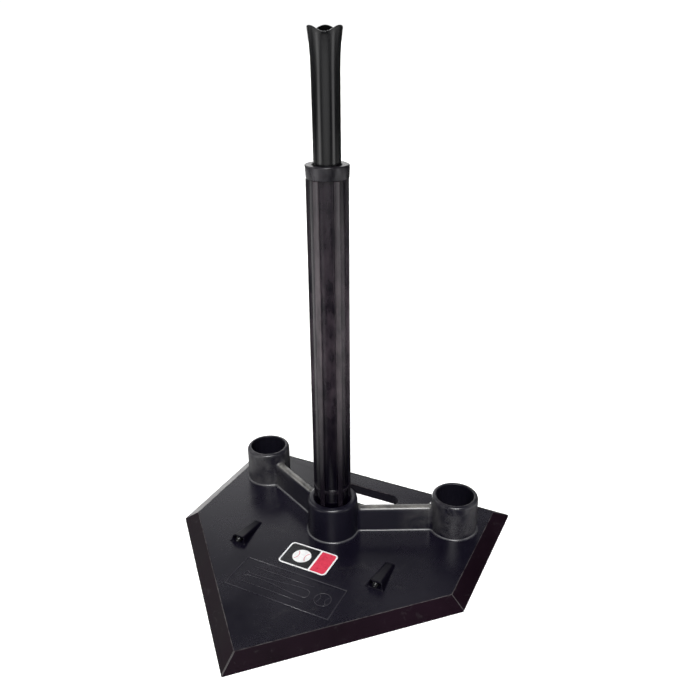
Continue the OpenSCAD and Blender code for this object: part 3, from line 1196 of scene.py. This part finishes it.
def in_slot(face):
    """Whether a face is on the wall of the carrying slot."""
    return face.normal.z < SLOT_EDGE_UP and not off_slot(face.center)


def is_inner_wall(face):
    """Whether a face is on the upright walls of the bridges and the middle socket."""
    away = (face.center.xy - SOCKETS["centre_socket"].xy).length
    return abs(face.normal.z) < WALL_UP and away < INNER_REACH


def in_bore(face):
    """Whether a face is in a socket's bore or on its rounded mouth."""
    limit = BORE_R + BORE_EDGE
    return any((face.center.xy - centre.xy).length < limit for centre in SOCKETS.values())


def in_channel(face):
    """Whether a face of the lower tube lies deeper than its ribs, foot ring and band."""
    return (face.center.xy - POST.xy).length < TUBE_R - CHANNEL_DEPTH / 3


def faces_axis(face):
    """Whether a face of the upper tube is on its bore."""
    outwards = Vector((face.center.x - POST.x, face.center.y - POST.y, 0.0)).normalized()
    return face.normal.dot(outwards) < TO_AXIS


def paint_node(node, material):
    for slot in frame["nodes"][node].material_slots:
        slot.material = MATERIALS[material].data


plate = make_plate()
finish_piece(plate, "base", "base_rubber", "base_plate")
# Painted shade: the sloping border in a darker copy of the rubber.
paint_faces(plate, "border", slopes)
paint_faces(plate, "point", faces_point)
paint_faces(plate, "worn", is_worn_edge)
# Painted highlight: the border's rounded mitres in light grey.
paint_faces(plate, "mitre", turns_corner)
# Painted shade: the carrying slot's wall in the darker guide rubber.
paint_faces(plate, "guide", in_slot)
# Painted highlight: the raised ornament in a lighter copy of the plate's rubber.
finish_piece(make_ornament(), "ornament", "base_rubber")
sockets = make_sockets()
finish_piece(sockets, "socket", "base_rubber",
             "left_socket", "centre_socket", "right_socket", "left_bridge", "right_bridge")
paint_faces(sockets, "wall", is_inner_wall)
# Painted shade: the bores and their mouths in a darker rubber.
paint_faces(sockets, "bore", in_bore)
# Painted shade: the stake guides in a darker copy of the plate's rubber.
for side in ("left", "right"):
    finish_piece(make_stake_guide(side), "guide", "base_rubber", side + "_stake_guide")
    finish_piece(make_stake_plug(side), "plug", "plug_plastic", side + "_stake_plug")
for ink, pieces in make_badge().items():
    for piece in pieces:
        replaced = ["badge"] if piece.name == "badge_backing" else []
        finish_piece(piece, ink, "badge_vinyl", *replaced)
        piece.visible_glossy = False
lower_tube = make_lower_tube()
finish_piece(lower_tube, "post", "post_rubber", "lower_tube", body="lower_post")
paint_faces(lower_tube, "channel", in_channel)
finish_piece(make_collar(), "collar", "post_rubber", "post_collar", body="lower_post")
upper_tube = make_upper_tube()
finish_piece(upper_tube, "upper", "upper_rubber", "upper_tube", "ball_cup", body="upper_post")
# Painted shade: the bore and the inside of the cup in near-black rubber.
paint_faces(upper_tube, "inside", faces_axis)
paint_node("grip_ring", "ring")
paint_node("end_plug", "ring")


# ---------------------------- studio

def glowing_paper(name, dark, light, glow):
    m = Material(name, 0.9, 0.0)
    m.colour(m.colours(m.noise(3.0), [(0.3, (dark,) * 3), (0.7, (light,) * 3)]))
    m.shader.inputs["Emission Color"].default_value = (1.0, 1.0, 1.0, 1.0)
    m.shader.inputs["Emission Strength"].default_value = glow
    return m.data


def make_floor():
    corners = [(x, y, 0.0) for x, y in rectangle(40.0, 40.0)]
    floor = mesh_object("floor", corners, [(0, 1, 2, 3)], smooth=False)
    floor.location.z = -0.3 * MM
    floor.data.materials.append(glowing_paper("floor_paper", 0.84, 0.88, 0.6))
    floor.visible_glossy = False


def make_backdrop():
    """A white ring wall on the horizon that only the camera sees."""
    sides = 64
    ring = circle_points(0.0, 0.0, 30.0, sides)
    points = [(p.x, p.y, height) for height in (-0.01, 22.0) for p in ring]
    backdrop = mesh_object("backdrop", points, loft_faces(2, sides, False))
    backdrop.data.materials.append(glowing_paper("backdrop_paper", 0.02, 0.03, 1.0))
    backdrop.visible_glossy = False
    backdrop.visible_diffuse = False
    backdrop.visible_transmission = False
    backdrop.visible_shadow = False


class Sky(Nodes):
    """The studio's light as a function of direction: a dim surround and soft round lamps."""

    def __init__(self, surround):
        world = bpy.data.worlds.new("studio")
        world.use_nodes = True
        bpy.context.scene.world = world
        super().__init__(world.node_tree)
        self.background = self.nodes["Background"]
        self.background.inputs["Color"].default_value = (1.0, 1.0, 1.0, 1.0)
        self.view = self.add("TexCoord", {}).outputs["Generated"]
        self.total = surround

    def lamp(self, towards, inner, outer, power, squeeze):
        """Adds light round a direction, full within `inner` degrees and gone at `outer`.

        Its height is its width divided by `squeeze`.
        """
        stretch = Vector((1.0, 1.0, squeeze))
        view = self.add("Mapping", {"Vector": self.view, "Scale": stretch}).outputs["Vector"]
        unit = self.add("VectorMath", {0: view}, "NORMALIZE").outputs["Vector"]
        aim = (towards * stretch).normalized()
        dot = self.add("VectorMath", {0: unit, 1: aim}, "DOT_PRODUCT").outputs["Value"]
        edge, core = (math.cos(math.radians(angle)) for angle in (outer, inner))
        self.total = self.sums(self.total, self.spread(dot, edge, core, 0.0, power, "SMOOTHSTEP"))

    def light(self):
        self.put(self.background.inputs["Strength"], self.total)


SURROUND = 0.04
# Azimuth and elevation, inner and outer angle, power, squeeze.
LAMPS = [
    (20, 46, 4, 14, 25, 1.0),  # main light, above the camera
    (37, 60, 3, 8, 40, 1.0),  # on the bridges' crests
    (-98, 19, 4, 12, 1.6, 1.0),
    (-133, -13, 6, 16, 6.5, 1.5),  # on the border at the back left
    (-86, 34, 5, 18, 2.2, 1.0),
    (-146, 20, 10, 24, 1.6, 1.4),  # on the plate's top, from the left
    (-29, -5, 4, 14, 2.0, 1.0),  # the two bright streaks on the upper tube
    (86, -5, 4, 14, 2.0, 1.0),
    (26, -4, 10, 38, 0.95, 3.0),  # soft light on the post and sockets, from low down
    (-92, -18, 10, 24, 0.9, 3.0),
    (-34, -16, 16, 29, 1.1, 3.0),
    (84, -18, 8, 22, 1.0, 3.0),
    (124, -18, 8, 22, 0.8, 3.0),
]


def make_studio():
    make_floor()
    make_backdrop()
    bpy.context.scene.view_settings.view_transform = "Standard"
    sky = Sky(SURROUND)
    for azimuth, elevation, inner, outer, power, squeeze in LAMPS:
        sky.lamp(direction(azimuth, elevation), inner, outer, power, squeeze)
    sky.light()


make_studio()
